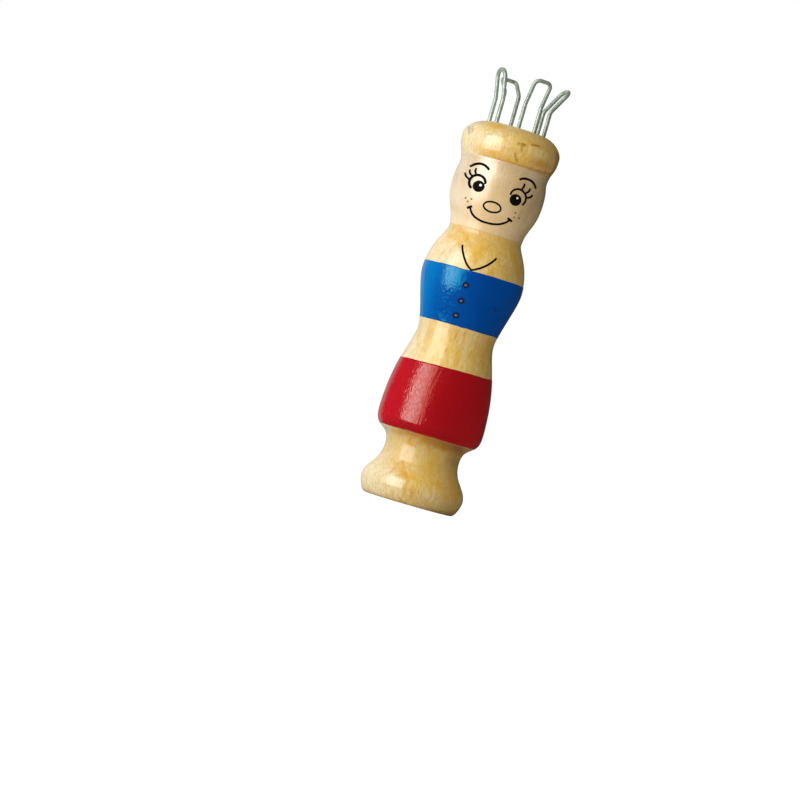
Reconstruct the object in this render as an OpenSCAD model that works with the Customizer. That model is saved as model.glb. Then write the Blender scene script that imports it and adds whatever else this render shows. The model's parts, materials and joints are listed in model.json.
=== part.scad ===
// Knitting nancy: a turned wooden doll with a bore from crown to foot, and four bent wire
// loops driven into its crown. Yarn is looped round the wires, and the knitted cord grows
// down through the bore. Millimetres, +Z up, origin at the middle of the foot's flat ring,
// with the painted face towards -Y.

/* [Turned body] */
// Diameter of the flat ring that the doll stands on
base_d = 24; // [18:0.1:27]
// Diameter of the foot where it is widest
foot_d = 28.7; // [26:0.1:36]
// Height of the foot's widest ring
foot_rise = 4.3; // [3:0.1:8]
// Diameter of the ankle, the groove between foot and skirt
ankle_d = 20.9; // [17:0.1:25]
// Rise from the foot's widest ring to the ankle
ankle_rise = 9.9; // [7:0.1:15]
// Diameter of the skirt where it is widest
skirt_d = 29.3; // [28:0.1:38]
// Rise from the ankle to the skirt's widest ring
skirt_rise = 8.8; // [7:0.1:13]
// Diameter of the waist
waist_d = 21.3; // [17:0.1:26]
// Rise from the skirt's widest ring to the waist
waist_rise = 24.3; // [20:0.1:32]
// Diameter of the bust where it is widest
bust_d = 28; // [25:0.1:36]
// Rise from the waist to the bust's widest ring
bust_rise = 15.7; // [13:0.1:22]
// Diameter of the neck
neck_d = 20.3; // [17:0.1:25]
// Rise from the bust's widest ring to the neck
neck_rise = 12.9; // [10:0.1:18]
// Diameter of the head where it is widest
head_d = 25.5; // [23:0.1:33]
// Rise from the neck to the head's widest ring
head_rise = 12.3; // [9:0.1:17]
// Diameter of the groove under the hat
brow_d = 24.3; // [21:0.1:31]
// Rise from the head's widest ring to the groove under the hat
brow_rise = 5.3; // [4:0.1:8]
// Diameter of the hat where it is widest
hat_d = 27.3; // [24:0.1:35]
// Rise from the groove to the hat's widest ring
hat_rise = 7.4; // [5:0.1:11]
// Diameter of the flat on top of the hat
crown_d = 13.6; // [12:0.1:20]
// Rise from the hat's widest ring to the flat on top
crown_rise = 5.1; // [4:0.1:8]

/* [Curves of the outline] */
// Rounding of the foot's lower edge, at the flat ring and at the widest ring
base_curve = [0.63, 0.20]; // [0.1:0.01:0.9]
// How far the curve from foot to ankle keeps the width of its lower and upper ring
ankle_curve = [0.38, 0.52]; // [0.1:0.01:0.9]
// The same for the curve from ankle to skirt
skirt_curve = [0.63, 0.66]; // [0.1:0.01:0.9]
// The same for the curve from skirt to waist
waist_curve = [0.60, 0.18]; // [0.1:0.01:0.9]
// The same for the curve from waist to bust
bust_curve = [0.24, 0.24]; // [0.1:0.01:0.9]
// The same for the curve from bust to neck
neck_curve = [0.58, 0.14]; // [0.1:0.01:0.9]
// The same for the curve from neck to head
head_curve = [0.38, 0.57]; // [0.1:0.01:0.9]
// The same for the curve from head to the groove under the hat
brow_curve = [0.70, 0.20]; // [0.1:0.01:0.9]
// The same for the curve from that groove to the hat
hat_curve = [0.43, 0.57]; // [0.1:0.01:0.9]
// Rounding of the hat's upper edge, at the widest ring and at the flat on top
crown_curve = [0.42, 0.62]; // [0.1:0.01:0.9]

/* [Bore] */
// Diameter of the bore that the knitted cord runs through
bore_d = 9; // [6:0.1:11]
// Size of the chamfer at both ends of the bore
bore_chamfer = 0.8; // [0.2:0.1:1.5]

/* [Wire loops] */
// Diameter of the wire
wire_d = 1.1; // [0.8:0.05:1.6]
// Wood left between the bore and the wire of each loop
bore_land = 2.3; // [1.5:0.1:3]
// Distance between the centre lines of a loop's two legs
loop_w = 4.7; // [3.8:0.1:6]
// Radius of the wire's centre line where each leg bends outwards
kink_r = 2.5; // [1.5:0.1:4]
// How much thicker the wire is where it has been bent
bend_swell = 0.02; // [0.01:0.01:0.05]
// Depth of the legs in the wood, below the flat on top
leg_depth = 14; // [8:0.5:25]
// Gap between the wire and the wall of its hole
hole_gap = 0.02; // [0.01:0.01:0.1]
// Place of the front, right, back and left loop, in degrees round the bore from the face
loop_turn = [21, 111, 210, 295]; // [0:1:359]
// Straight height of those loops' legs above the flat on top
loop_stand = [6.2, 6.2, 8.3, 6.2]; // [4:0.1:10]
// Outward lean of those loops above the bend, in degrees
loop_lean = [21, 30, 44, 12]; // [5:1:50]
// Length of those loops beyond the bend, up to the wire across the top
loop_reach = [7.0, 7.4, 4.0, 7.7]; // [3.5:0.1:10]
// Radius of the wire's centre line at those loops' two top corners
loop_corner = [1.5, 2.0, 0.9, 2.2]; // [0.9:0.1:2.2]

/* [Painted bands] */
// Distance of the red band's lower edge below the skirt's widest ring
red_hem_drop = 3.8; // [1:0.1:6]
// Distance of the red band's upper edge below the waist
red_top_drop = 8.9; // [3:0.1:14]
// Distance of the blue band's lower edge above the waist
blue_hem_lift = 2.5; // [0.5:0.1:6]
// Distance of the blue band's upper edge above the bust's widest ring
blue_top_lift = 2.2; // [0.5:0.1:6]
// Distance of the face paint's lower edge above the neck
face_hem_lift = 0.3; // [0.1:0.1:3]
// Distance of the face paint's upper edge above the groove under the hat
face_top_lift = 2.3; // [0.5:0.1:5]

/* [Hidden] */

$fn = 96;
// Points along each curve of the outline
curve_steps = 14;
// How far a cutter runs past the face that it cuts
cut_past = 1;
// How far a straight piece of wire runs on into the bend beside it
bend_bite = 0.1;
// Least straight wire between a loop's middle and its corner
top_least = 0.1;

wood = "BurlyWood";
face_paint = "PeachPuff";
blue_paint = "RoyalBlue";
red_paint = "FireBrick";
wire_zinc = "Silver";

// Rings of the outline, from foot to hat: rise above the ring before, radius, and the ease
// of the curve that leads up to the ring
rings = [
    [foot_rise, foot_d / 2, base_curve],
    [ankle_rise, ankle_d / 2, ankle_curve],
    [skirt_rise, skirt_d / 2, skirt_curve],
    [waist_rise, waist_d / 2, waist_curve],
    [bust_rise, bust_d / 2, bust_curve],
    [neck_rise, neck_d / 2, neck_curve],
    [head_rise, head_d / 2, head_curve],
    [brow_rise, brow_d / 2, brow_curve],
    [hat_rise, hat_d / 2, hat_curve]
];
skirt_ring = 2;
waist_ring = 3;
bust_ring = 4;
neck_ring = 5;
brow_ring = 7;
hat_ring = 8;

function height_of(ring) = ring < 0 ? 0 : rings[ring][0] + height_of(ring - 1);
function ring_point(ring) = [rings[ring][1], height_of(ring)];

body_h = height_of(hat_ring) + crown_rise;
loop_circle_r = bore_d / 2 + bore_land + wire_d / 2;
corner_rs = [for (radius = loop_corner) min(radius, loop_w / 2 - top_least)];

// Heights where the finish changes, from the floor to the top
band_edges = [
    0,
    height_of(skirt_ring) - red_hem_drop,
    height_of(waist_ring) - red_top_drop,
    height_of(waist_ring) + blue_hem_lift,
    height_of(bust_ring) + blue_top_lift,
    height_of(neck_ring) + face_hem_lift,
    height_of(brow_ring) + face_top_lift,
    body_h
];
band_colours = [wood, red_paint, wood, blue_paint, wood, face_paint, wood];

// Points of a cubic curve from p0 to p3, without its last point
function curve(p0, p1, p2, p3) = [
    for (i = [0 : curve_steps - 1])
        let (t = i / curve_steps, s = 1 - t)
            s * s * s * p0 + 3 * s * s * t * p1 + 3 * s * t * t * p2 + t * t * t * p3
];

// The curve that leads up to a ring: upright at both of its ends
function flank(ring) =
    let (
        low = ring_point(ring - 1),
        high = ring_point(ring),
        rise = rings[ring][0],
        ease = rings[ring][2]
    )
    curve(low, low + [0, ease[0] * rise], high - [0, ease[1] * rise], high);

// The foot's lower edge: level at the flat ring, upright at the widest ring
function foot_edge() =
    let (low = [base_d / 2, 0], high = ring_point(0), overhang = high[0] - low[0])
    curve(low, low + [base_curve[0] * overhang, 0], high - [0, base_curve[1] * foot_rise], high);

// The hat's upper edge: upright at the widest ring, level at the flat on top
function hat_edge() =
    let (low = ring_point(hat_ring), high = [crown_d / 2, body_h], overhang = low[0] - high[0])
    curve(low, low + [0, crown_curve[0] * crown_rise], high + [crown_curve[1] * overhang, 0], high);

outline = concat(
    foot_edge(),
    [for (ring = [1 : hat_ring]) each flank(ring)],
    hat_edge(),
    [[crown_d / 2, body_h]]
);
radius_by_height = [for (p = outline) [p[1], p[0]]];

// One turned slice of the body, between two heights
module turned_slice(low_z, high_z) {
    rotate_extrude()
        polygon(concat(
            [[0, low_z], [lookup(low_z, radius_by_height), low_z]],
            [for (p = outline) if (p[1] > low_z && p[1] < high_z) p],
            [[lookup(high_z, radius_by_height), high_z], [0, high_z]]
        ));
}

// The bore, with a chamfer at both ends
module bore_cutter() {
    mouth_d = bore_d + 2 * bore_chamfer;
    translate([0, 0, -cut_past])
        cylinder(d = bore_d, h = body_h + 2 * cut_past);
    cylinder(d1 = mouth_d, d2 = bore_d, h = bore_chamfer);
    translate([0, 0, body_h - bore_chamfer])
        cylinder(d1 = bore_d, d2 = mouth_d, h = bore_chamfer);
}

// Puts its children at a loop's place: X along the crown's rim, Y outwards, Z up
module at_loop(index) {
    rotate(180 + loop_turn[index])
        translate([0, loop_circle_r, body_h])
            children();
}

// A straight piece of wire, upwards from one height to another
module wire(low_z, high_z) {
    translate([0, 0, low_z])
        cylinder(d = wire_d, h = high_z - low_z);
}

// A bend in the wire, in the XY plane, starting on +X and turning towards +Y
module wire_bend(radius, angle) {
    rotate_extrude(angle = angle)
        translate([radius, 0])
            circle(d = wire_d + bend_swell);
}

// One leg of a loop: out of its hole, bent outwards, and bent over to the loop's middle
module loop_leg(stand, lean, reach, corner_r) {
    straight = reach - corner_r;
    translate([loop_w / 2, 0, 0])
        wire(-leg_depth, stand + bend_bite);
    translate([loop_w / 2, kink_r, stand])
        rotate([90, 0, -90])
            wire_bend(kink_r, lean);
    translate([loop_w / 2, kink_r * (1 - cos(lean)), stand + kink_r * sin(lean)])
        rotate([-lean, 0, 0]) {
            wire(-bend_bite, straight + bend_bite);
            translate([-corner_r, 0, straight])
                rotate([90, 0, 0])
                    wire_bend(corner_r, 90);
        }
}

// The wire across the top of a loop, between its two corners
module loop_top(stand, lean, reach, corner_r) {
    translate([0, kink_r * (1 - cos(lean)), stand + kink_r * sin(lean)])
        rotate([-lean, 0, 0])
            translate([0, 0, reach])
                rotate([0, 90, 0])
                    wire(corner_r - loop_w / 2 - bend_bite, loop_w / 2 - corner_r + bend_bite);
}

module wire_loop(index) {
    stand = loop_stand[index];
    lean = loop_lean[index];
    reach = loop_reach[index];
    corner_r = corner_rs[index];
    color(wire_zinc)
        at_loop(index) {
            loop_leg(stand, lean, reach, corner_r);
            mirror([1, 0, 0])
                loop_leg(stand, lean, reach, corner_r);
            loop_top(stand, lean, reach, corner_r);
        }
}

// The two blind holes that hold a loop's legs
module loop_holes(index) {
    at_loop(index)
        for (side = [-1, 1])
            translate([side * loop_w / 2, 0, -leg_depth])
                cylinder(d = wire_d + 2 * hole_gap, h = leg_depth + cut_past);
}

module wooden_body() {
    difference() {
        union() {
            for (band = [0 : len(band_colours) - 1])
                color(band_colours[band])
                    turned_slice(band_edges[band], band_edges[band + 1]);
        }
        bore_cutter();
        for (index = [0 : len(loop_turn) - 1])
            loop_holes(index);
    }
}

module front_loop() {
    wire_loop(0);
}

module right_loop() {
    wire_loop(1);
}

module back_loop() {
    wire_loop(2);
}

module left_loop() {
    wire_loop(3);
}

wooden_body();
front_loop();
right_loop();
back_loop();
left_loop();
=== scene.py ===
import json
import math

import bmesh
import bpy
import numpy as np
from mathutils import Matrix, Vector, noise
from mathutils.geometry import interpolate_bezier

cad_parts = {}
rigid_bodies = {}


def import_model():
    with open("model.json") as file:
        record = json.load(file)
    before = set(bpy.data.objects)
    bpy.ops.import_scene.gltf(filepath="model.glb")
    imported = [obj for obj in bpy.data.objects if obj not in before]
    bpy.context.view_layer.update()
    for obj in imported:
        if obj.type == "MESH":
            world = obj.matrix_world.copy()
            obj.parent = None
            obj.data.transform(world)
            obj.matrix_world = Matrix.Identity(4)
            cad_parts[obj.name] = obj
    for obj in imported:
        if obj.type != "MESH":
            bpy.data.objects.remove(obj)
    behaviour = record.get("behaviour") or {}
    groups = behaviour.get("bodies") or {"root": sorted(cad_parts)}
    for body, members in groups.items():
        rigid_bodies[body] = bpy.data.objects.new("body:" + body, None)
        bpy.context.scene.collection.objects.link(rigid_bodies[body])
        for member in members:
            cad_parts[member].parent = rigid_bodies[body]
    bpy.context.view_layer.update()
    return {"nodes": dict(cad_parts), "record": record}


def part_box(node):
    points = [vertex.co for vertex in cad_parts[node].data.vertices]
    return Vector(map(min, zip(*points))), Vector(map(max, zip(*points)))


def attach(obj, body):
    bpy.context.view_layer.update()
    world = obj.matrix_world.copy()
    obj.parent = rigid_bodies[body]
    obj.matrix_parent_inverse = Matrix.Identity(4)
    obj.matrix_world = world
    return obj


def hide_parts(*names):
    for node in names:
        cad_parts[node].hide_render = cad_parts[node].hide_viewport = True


mm = 0.001
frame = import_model()
scene = bpy.context.scene
scene.view_settings.view_transform = "Standard"
print("frame:", ", ".join(sorted(frame["nodes"])))


# camera: level with the skirt, rolled so that the doll leans to the right
photoView = {
    "aim": Vector((-9.77, 0.0, 26.5)) * mm,  # what the middle of the picture shows
    "distance": 1.1,
    "roll": 16.2,  # degrees
    "span": 217.4 * mm,  # width of the picture at the doll's axis
    "sensor": 36.0,
    "clip": (0.05, 20.0),
}


def addCamera(view):
    lens = bpy.data.cameras.new("photoCamera")
    lens.sensor_width = view["sensor"]
    lens.lens = view["sensor"] * view["distance"] / view["span"]
    lens.clip_start, lens.clip_end = view["clip"]
    camera = bpy.data.objects.new("photoCamera", lens)
    scene.collection.objects.link(camera)
    place = Matrix.Translation(view["aim"] - Vector((0, view["distance"], 0)))
    roll = Matrix.Rotation(math.radians(-view["roll"]), 4, "Y")
    level = Matrix.Rotation(math.radians(90), 4, "X")
    camera.matrix_world = place @ roll @ level
    scene.camera = camera


addCamera(photoView)
print("camera: rolled", photoView["roll"], "degrees")


# shader nodes, added and wired in few words
class Shader:
    def __init__(self, tree):
        self.tree = tree

    def add(self, kind, inputs={}, **settings):
        node = self.tree.nodes.new(kind)
        for key, value in settings.items():
            setattr(node, key, value)
        self.fill(node, inputs)
        return node

    def fill(self, node, inputs):
        for key, value in inputs.items():
            socket = node.inputs[key]
            if isinstance(value, bpy.types.NodeSocket):
                self.tree.links.new(value, socket)
            elif isinstance(value, tuple) and len(value) == 3 and socket.type == "RGBA":
                socket.default_value = (*value, 1.0)
            else:
                socket.default_value = value

    def math(self, operation, a, b):
        return self.add("ShaderNodeMath", {0: a, 1: b}, operation=operation).outputs[0]

    def stretched(self, vector, scale, turn=(0, 0, 0), shift=(0, 0, 0)):
        angles = [math.radians(angle) for angle in turn]
        inputs = {"Vector": vector, "Location": shift, "Rotation": angles, "Scale": scale}
        return self.add("ShaderNodeMapping", inputs).outputs[0]

    def grainNoise(self, vector, grain):
        if "stretch" in grain:
            vector = self.stretched(vector, grain["stretch"], shift=grain.get("shift", (0, 0, 0)))
        inputs = {
            "Vector": vector, "Scale": 1 / grain["size"],
            "Detail": grain["detail"], "Roughness": grain.get("roughness", 0.5),
        }
        return self.add("ShaderNodeTexNoise", inputs).outputs["Fac"]

    def between(self, value, low, high):
        # 0 at low and 1 at high, with a soft step
        inputs = {"Value": value, "From Min": low, "From Max": high}
        return self.add("ShaderNodeMapRange", inputs, interpolation_type="SMOOTHSTEP").outputs["Result"]

    def ranged(self, value, low, high, start=0.0, end=1.0):
        # low at the start and high at the end
        inputs = {"Value": value, "From Min": start, "From Max": end, "To Min": low, "To Max": high}
        return self.add("ShaderNodeMapRange", inputs).outputs["Result"]

    def blend(self, share, a, b, mode="MIX"):
        inputs = {"Factor": share, 6: a, 7: b}  # colour sockets come after those for values and vectors
        return self.add("ShaderNodeMix", inputs, data_type="RGBA", blend_type=mode).outputs[2]

    def tinted(self, colour, mask, tint, share):
        return self.blend(self.math("MULTIPLY", mask, share), colour, tint)

    def bump(self, height, depth, strength, normal=None):
        inputs = {"Height": height, "Distance": depth, "Strength": strength}
        if normal is not None:
            inputs["Normal"] = normal
        return self.add("ShaderNodeBump", inputs).outputs["Normal"]

    def mixedSurfaces(self, share, a, b):
        return self.add("ShaderNodeMixShader", {0: share, 1: a, 2: b}).outputs[0]


def startNodes(owner):
    owner.use_nodes = True
    owner.node_tree.nodes.clear()
    return Shader(owner.node_tree)


def addObject(name, bm, material):
    mesh = bpy.data.meshes.new(name)
    bm.to_mesh(mesh)
    bm.free()
    mesh.materials.append(material)
    holder = bpy.data.objects.new(name, mesh)
    scene.collection.objects.link(holder)
    return holder


# light: a tall softbox at the left front that the lacquer mirrors, and softer light all round
softboxes = {
    "keyLight": {  # the bright patches on hat, face, skirt and foot
        "azimuth": -44.3, "elevation": 7.8, "distance": 0.55,
        "size": (0.436, 0.626), "watts": 1.7, "mirrored": True,
    },
    "sideLight": {
        "azimuth": -76, "elevation": 28, "distance": 0.6,
        "size": (0.5, 0.5), "watts": 1.6, "mirrored": False,
    },
    "fillLight": {
        "azimuth": -14, "elevation": 36, "distance": 0.7,
        "size": (0.5, 0.5), "watts": 1.92, "mirrored": False,
    },
    "rimLight": {  # the white gleam along the left edge
        "azimuth": -160, "elevation": 8, "distance": 0.7,
        "size": (0.6, 0.8), "watts": 0.45, "mirrored": True,
    },
    "edgeLight": {  # keeps the wood pale right up to that edge
        "azimuth": -130, "elevation": 10, "distance": 0.6,
        "size": (0.5, 0.5), "watts": 1.15, "mirrored": False,
    },
    "backLight": {
        "azimuth": 180, "elevation": 48, "distance": 0.8,
        "size": (0.6, 0.5), "watts": 2.6, "mirrored": False,
    },
}
lightAim = Vector((0, 0, 60)) * mm


def addSoftbox(name, box):
    azimuth = math.radians(box["azimuth"])
    elevation = math.radians(box["elevation"])
    away = Vector((
        math.sin(azimuth) * math.cos(elevation),
        -math.cos(azimuth) * math.cos(elevation),
        math.sin(elevation),
    ))
    lamp = bpy.data.lights.new(name, "AREA")
    lamp.shape = "RECTANGLE"
    lamp.size, lamp.size_y = box["size"]
    lamp.energy = box["watts"]
    holder = bpy.data.objects.new(name, lamp)
    holder.visible_glossy = box["mirrored"]
    scene.collection.objects.link(holder)
    place = Matrix.Translation(lightAim + away * box["distance"])
    holder.matrix_world = place @ away.to_track_quat("Z", "Y").to_matrix().to_4x4()


def seenDirectly(shader):
    # 1 where the eye, glass or a shiny surface looks straight at it, 0 where it only gives light
    path = shader.add("ShaderNodeLightPath")
    clear = shader.math("MAXIMUM", path.outputs["Is Camera Ray"], path.outputs["Is Transmission Ray"])
    return shader.math("MAXIMUM", clear, path.outputs["Is Glossy Ray"])


backdrop = {"ambient": 0.085, "tint": (1.0, 1.0, 0.88), "white": 1.0, "whiteTint": (1.0, 1.0, 1.0)}


def addWorld(look):
    world = bpy.data.worlds.new("studio")
    shader = startNodes(world)
    lit = shader.add("ShaderNodeBackground", {"Color": look["tint"], "Strength": look["ambient"]})
    white = shader.add("ShaderNodeBackground", {"Color": look["whiteTint"], "Strength": look["white"]})
    mixed = shader.mixedSurfaces(seenDirectly(shader), lit.outputs[0], white.outputs[0])
    shader.add("ShaderNodeOutputWorld", {"Surface": mixed})
    scene.world = world


floorLook = {
    "radius": 2.0,
    "sides": 96,
    "drop": 0.02 * mm,  # keeps it from lying in the same plane as the foot
    "colour": (0.86, 0.86, 0.86),
    "nearGlow": 0.8,  # the shadow stays round the foot
    "farGlow": 1.0,  # further out the floor meets the white world
    "fade": (0.02, 0.09),
    "white": 1.15,
}


def addFloor(look):
    material = bpy.data.materials.new("paleFloor")
    shader = startNodes(material)
    matte = shader.add("ShaderNodeBsdfDiffuse", {"Color": look["colour"]})
    glow = shader.add("ShaderNodeEmission", {"Strength": look["white"]})
    place = shader.add("ShaderNodeTexCoord").outputs["Object"]
    reach = shader.add("ShaderNodeVectorMath", {0: place}, operation="LENGTH").outputs["Value"]
    fade = shader.ranged(reach, look["nearGlow"], look["farGlow"], *look["fade"])
    share = shader.math("MULTIPLY", seenDirectly(shader), fade)
    mixed = shader.mixedSurfaces(share, matte.outputs[0], glow.outputs[0])
    shader.add("ShaderNodeOutputMaterial", {"Surface": mixed})
    bm = bmesh.new()
    lowered = Matrix.Translation((0, 0, -look["drop"]))
    bmesh.ops.create_circle(
        bm, cap_ends=True, segments=look["sides"], radius=look["radius"], matrix=lowered,
    )
    floor = addObject("floor", bm, material)
    floor.visible_glossy = False


roomLook = {"radius": 1.7, "sides": 48, "rows": 24, "colour": (0.03, 0.03, 0.028)}


def addDarkRoom(look):
    # the dim studio that the lacquer mirrors
    material = bpy.data.materials.new("dimWalls")
    shader = startNodes(material)
    wall = shader.add("ShaderNodeEmission", {"Color": look["colour"]})
    shader.add("ShaderNodeOutputMaterial", {"Surface": wall.outputs[0]})
    bm = bmesh.new()
    bmesh.ops.create_uvsphere(
        bm, u_segments=look["sides"], v_segments=look["rows"], radius=look["radius"],
    )
    room = addObject("darkRoom", bm, material)
    room.visible_camera = False
    room.visible_diffuse = False
    room.visible_transmission = False
    room.visible_shadow = False


for name, box in softboxes.items():
    addSoftbox(name, box)
addWorld(backdrop)
addFloor(floorLook)
addDarkRoom(roomLook)
print("stage:", len(softboxes), "softboxes, white world, pale floor, dim room")


# outline of the turned body, read from the frame, as (radius, height) in millimetres
lathe = {
    "steps": 192,  # faces round the axis
    "bodySteps": 256,
    "weld": 1e-8,  # metres
    "ringPoints": 20,  # a turned edge has at least this many points at one height and radius
    "skinMargin": 0.5,  # rings this far outside the bore's mouth belong to the skin
    "straight": 0.0015,  # a ring this close to the line between its neighbours isn't needed
    "rowGap": 0.5,
    "fineGap": 0.1,
}


def readRings(node):
    counts = {}
    for vertex in frame["nodes"][node].data.vertices:
        key = (round(vertex.co.xy.length / mm, 3), round(vertex.co.z / mm, 3))
        counts[key] = counts.get(key, 0) + 1
    rings = [Vector(key) for key, count in counts.items() if count >= lathe["ringPoints"]]
    return sorted(rings, key=lambda ring: ring.y)


def dropStraight(points, least):
    # points on the straight between their neighbours add nothing to the curve
    kept = [points[0]]
    for point, after in zip(points[1:-1], points[2:]):
        chord = after - kept[-1]
        offset = abs(chord.cross(point - kept[-1])) / chord.length
        if offset > least:
            kept.append(point)
    return kept + [points[-1]]


def smoothLine(points, gap):
    # short even steps along a curve that runs through the points
    slopes = []
    for i, point in enumerate(points):
        before = point - points[max(i - 1, 0)]
        after = points[min(i + 1, len(points) - 1)] - point
        if before.length == 0:
            slope = after
        elif after.length == 0:
            slope = before
        else:
            slope = before / before.length * after.length + after / after.length * before.length
        slopes.append(slope.normalized())
    line = []
    for i in range(len(points) - 1):
        length = (points[i + 1] - points[i]).length
        reach = length / 3
        count = max(2, math.ceil(length / gap) + 1)
        handleOut = points[i] + slopes[i] * reach
        handleIn = points[i + 1] - slopes[i + 1] * reach
        line += interpolate_bezier(points[i], handleOut, handleIn, points[i + 1], count)[:-1]
    return line + [points[-1]]


cordBore = next(mount for mount in frame["record"]["mounts"] if mount["name"] == "cord_bore")
boreRadius = cordBore["dims"]["r_mm"]
rings = readRings("wooden_body")
bodyHeight = rings[-1].y
mouthRadius = min(ring.x for ring in rings if ring.y == 0)
skinRings = [ring for ring in rings if ring.x > mouthRadius + lathe["skinMargin"]]
outerRings = dropStraight(skinRings, lathe["straight"])
fineLine = smoothLine(outerRings, lathe["fineGap"])
fineHeights = np.array([point.y for point in fineLine])
fineRadii = np.array([point.x for point in fineLine])


def radiusAt(height):
    return float(np.interp(height, fineHeights, fineRadii))


print("outline:", len(outerRings), "rings,", round(bodyHeight, 2), "mm tall")


# turning: a closed outline, skin first and lining after it, spun round the doll's axis
def lengthsAlong(line):
    lengths = [0.0]
    for before, after in zip(line, line[1:]):
        lengths.append(lengths[-1] + (after - before).length)
    return lengths


def turnShape(skin, lining, steps):
    line = skin + lining
    bm = bmesh.new()
    along = bm.verts.layers.float.new("along")
    lengths = lengthsAlong(line)
    skinEnd = lengths[len(skin) - 1]
    verts = []
    for point, length in zip(line, lengths):
        vert = bm.verts.new((0, point.x * mm, point.y * mm))
        vert[along] = length / skinEnd  # 0 to 1 on the skin, above 1 on the lining
        verts.append(vert)
    edges = [bm.edges.new((verts[i - 1], verts[i])) for i in range(len(verts))]
    bmesh.ops.spin(
        bm, geom=verts + edges, cent=(0, 0, 0), axis=(0, 0, 1), dvec=(0, 0, 0),
        angle=math.tau, steps=steps, use_merge=True, use_normal_flip=False,
    )
    bmesh.ops.remove_doubles(bm, verts=bm.verts, dist=lathe["weld"])
    bmesh.ops.recalc_face_normals(bm, faces=bm.faces)
    return bm


def unwrapTurned(bm, rooms):
    # the skin and the lining each fill a rectangle of the map: left, bottom, right, top
    along = bm.verts.layers.float["along"]
    sheet = bm.loops.layers.uv.new("OFBake")
    liningEnd = max(vert[along] for vert in bm.verts)
    for face in bm.faces:
        middle = face.calc_center_median()
        turn = math.atan2(middle.x, -middle.y)
        lengths = [loop.vert[along] for loop in face.loops]
        closing = max(lengths) - min(lengths) > 0.5 and min(lengths) == 0
        if closing:  # from the lining's end back to the start of the skin
            lengths = [liningEnd if length == 0 else length for length in lengths]
        onSkin = sum(lengths) / len(lengths) < 1
        left, bottom, right, top = rooms["skin"] if onSkin else rooms["lining"]
        for loop, length in zip(face.loops, lengths):
            spot = loop.vert.co
            swing = math.atan2(spot.x, -spot.y) - turn
            swing -= math.tau * round(swing / math.tau)
            across = 0.5 + (turn + swing) / math.tau
            up = length if onSkin else (length - 1) / max(liningEnd - 1, 1e-6)
            loop[sheet].uv = (left + (right - left) * across, bottom + (top - bottom) * up)


def finishPiece(name, bm, material):
    for face in bm.faces:
        face.smooth = True
    piece = addObject(name, bm, material)
    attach(piece, "root")
    return piece


# node groups that the finishes share, each with one place as input and masks as outputs
def startGroup(name, outputs):
    tree = bpy.data.node_groups.new(name, "ShaderNodeTree")
    tree.interface.new_socket(name="Vector", in_out="INPUT", socket_type="NodeSocketVector")
    for label in outputs:
        tree.interface.new_socket(name=label, in_out="OUTPUT", socket_type="NodeSocketFloat")
    shader = Shader(tree)
    place = shader.add("NodeGroupInput").outputs["Vector"]
    result = shader.add("NodeGroupOutput")
    return shader, place, result


def startMaterial(name):
    material = bpy.data.materials.new(name)
    shader = startNodes(material)
    surface = shader.add("ShaderNodeBsdfPrincipled")
    shader.add("ShaderNodeOutputMaterial", {"Surface": surface.outputs[0]})
    place = shader.add("ShaderNodeTexCoord").outputs["Object"]
    return material, shader, surface, place


def placeGroup(shader, tree, place):
    return shader.add("ShaderNodeGroup", {"Vector": place}, node_tree=tree).outputs


woodFigureAndSideLight = {
    "rings": {
        "gap": 2.3 * mm, "stretch": (1, 1, 0.22),
        "phase": 20,  # radians of wave in one unit
        "lean": (3.5, -2.5, 0.0),  # the grain isn't quite in line with the axis
        "shift": (24 * mm, 31 * mm, 0.0),  # the middle of the rings lies well outside the doll
        "wander": 3.2, "detail": 2.0, "detailScale": 1.1,
    },
    "flecks": {"size": 0.36 * mm, "stretch": (1, 1, 0.16), "detail": 1.0},
    "fleckEdge": (0.6, 0.72),
    "fibre": {"size": 0.55 * mm, "stretch": (1, 1, 0.05), "detail": 4.0, "roughness": 0.6},
    "cloud": {"size": 9.0 * mm, "stretch": (1, 1, 0.45), "detail": 2.0},
    "cloudEdge": (0.3, 0.7),
    "patches": {
        "size": 3.2 * mm, "stretch": (1, 1, 0.5), "detail": 4.0, "roughness": 0.6,
        "shift": (37 * mm, -21 * mm, 13 * mm),  # chooses which patches lie on the front
    },
    "patchEdge": (0.42, 0.70),
    "paintedLightEdge": (-3 * mm, -11 * mm),  # painted light: the wood is painted paler on the doll's left, where the light falls
    "paintedShadeEdge": (4 * mm, 14 * mm),  # painted shade: and darker on its right, away from the light
    "paintedSideWander": 14 * mm,
}


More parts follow.
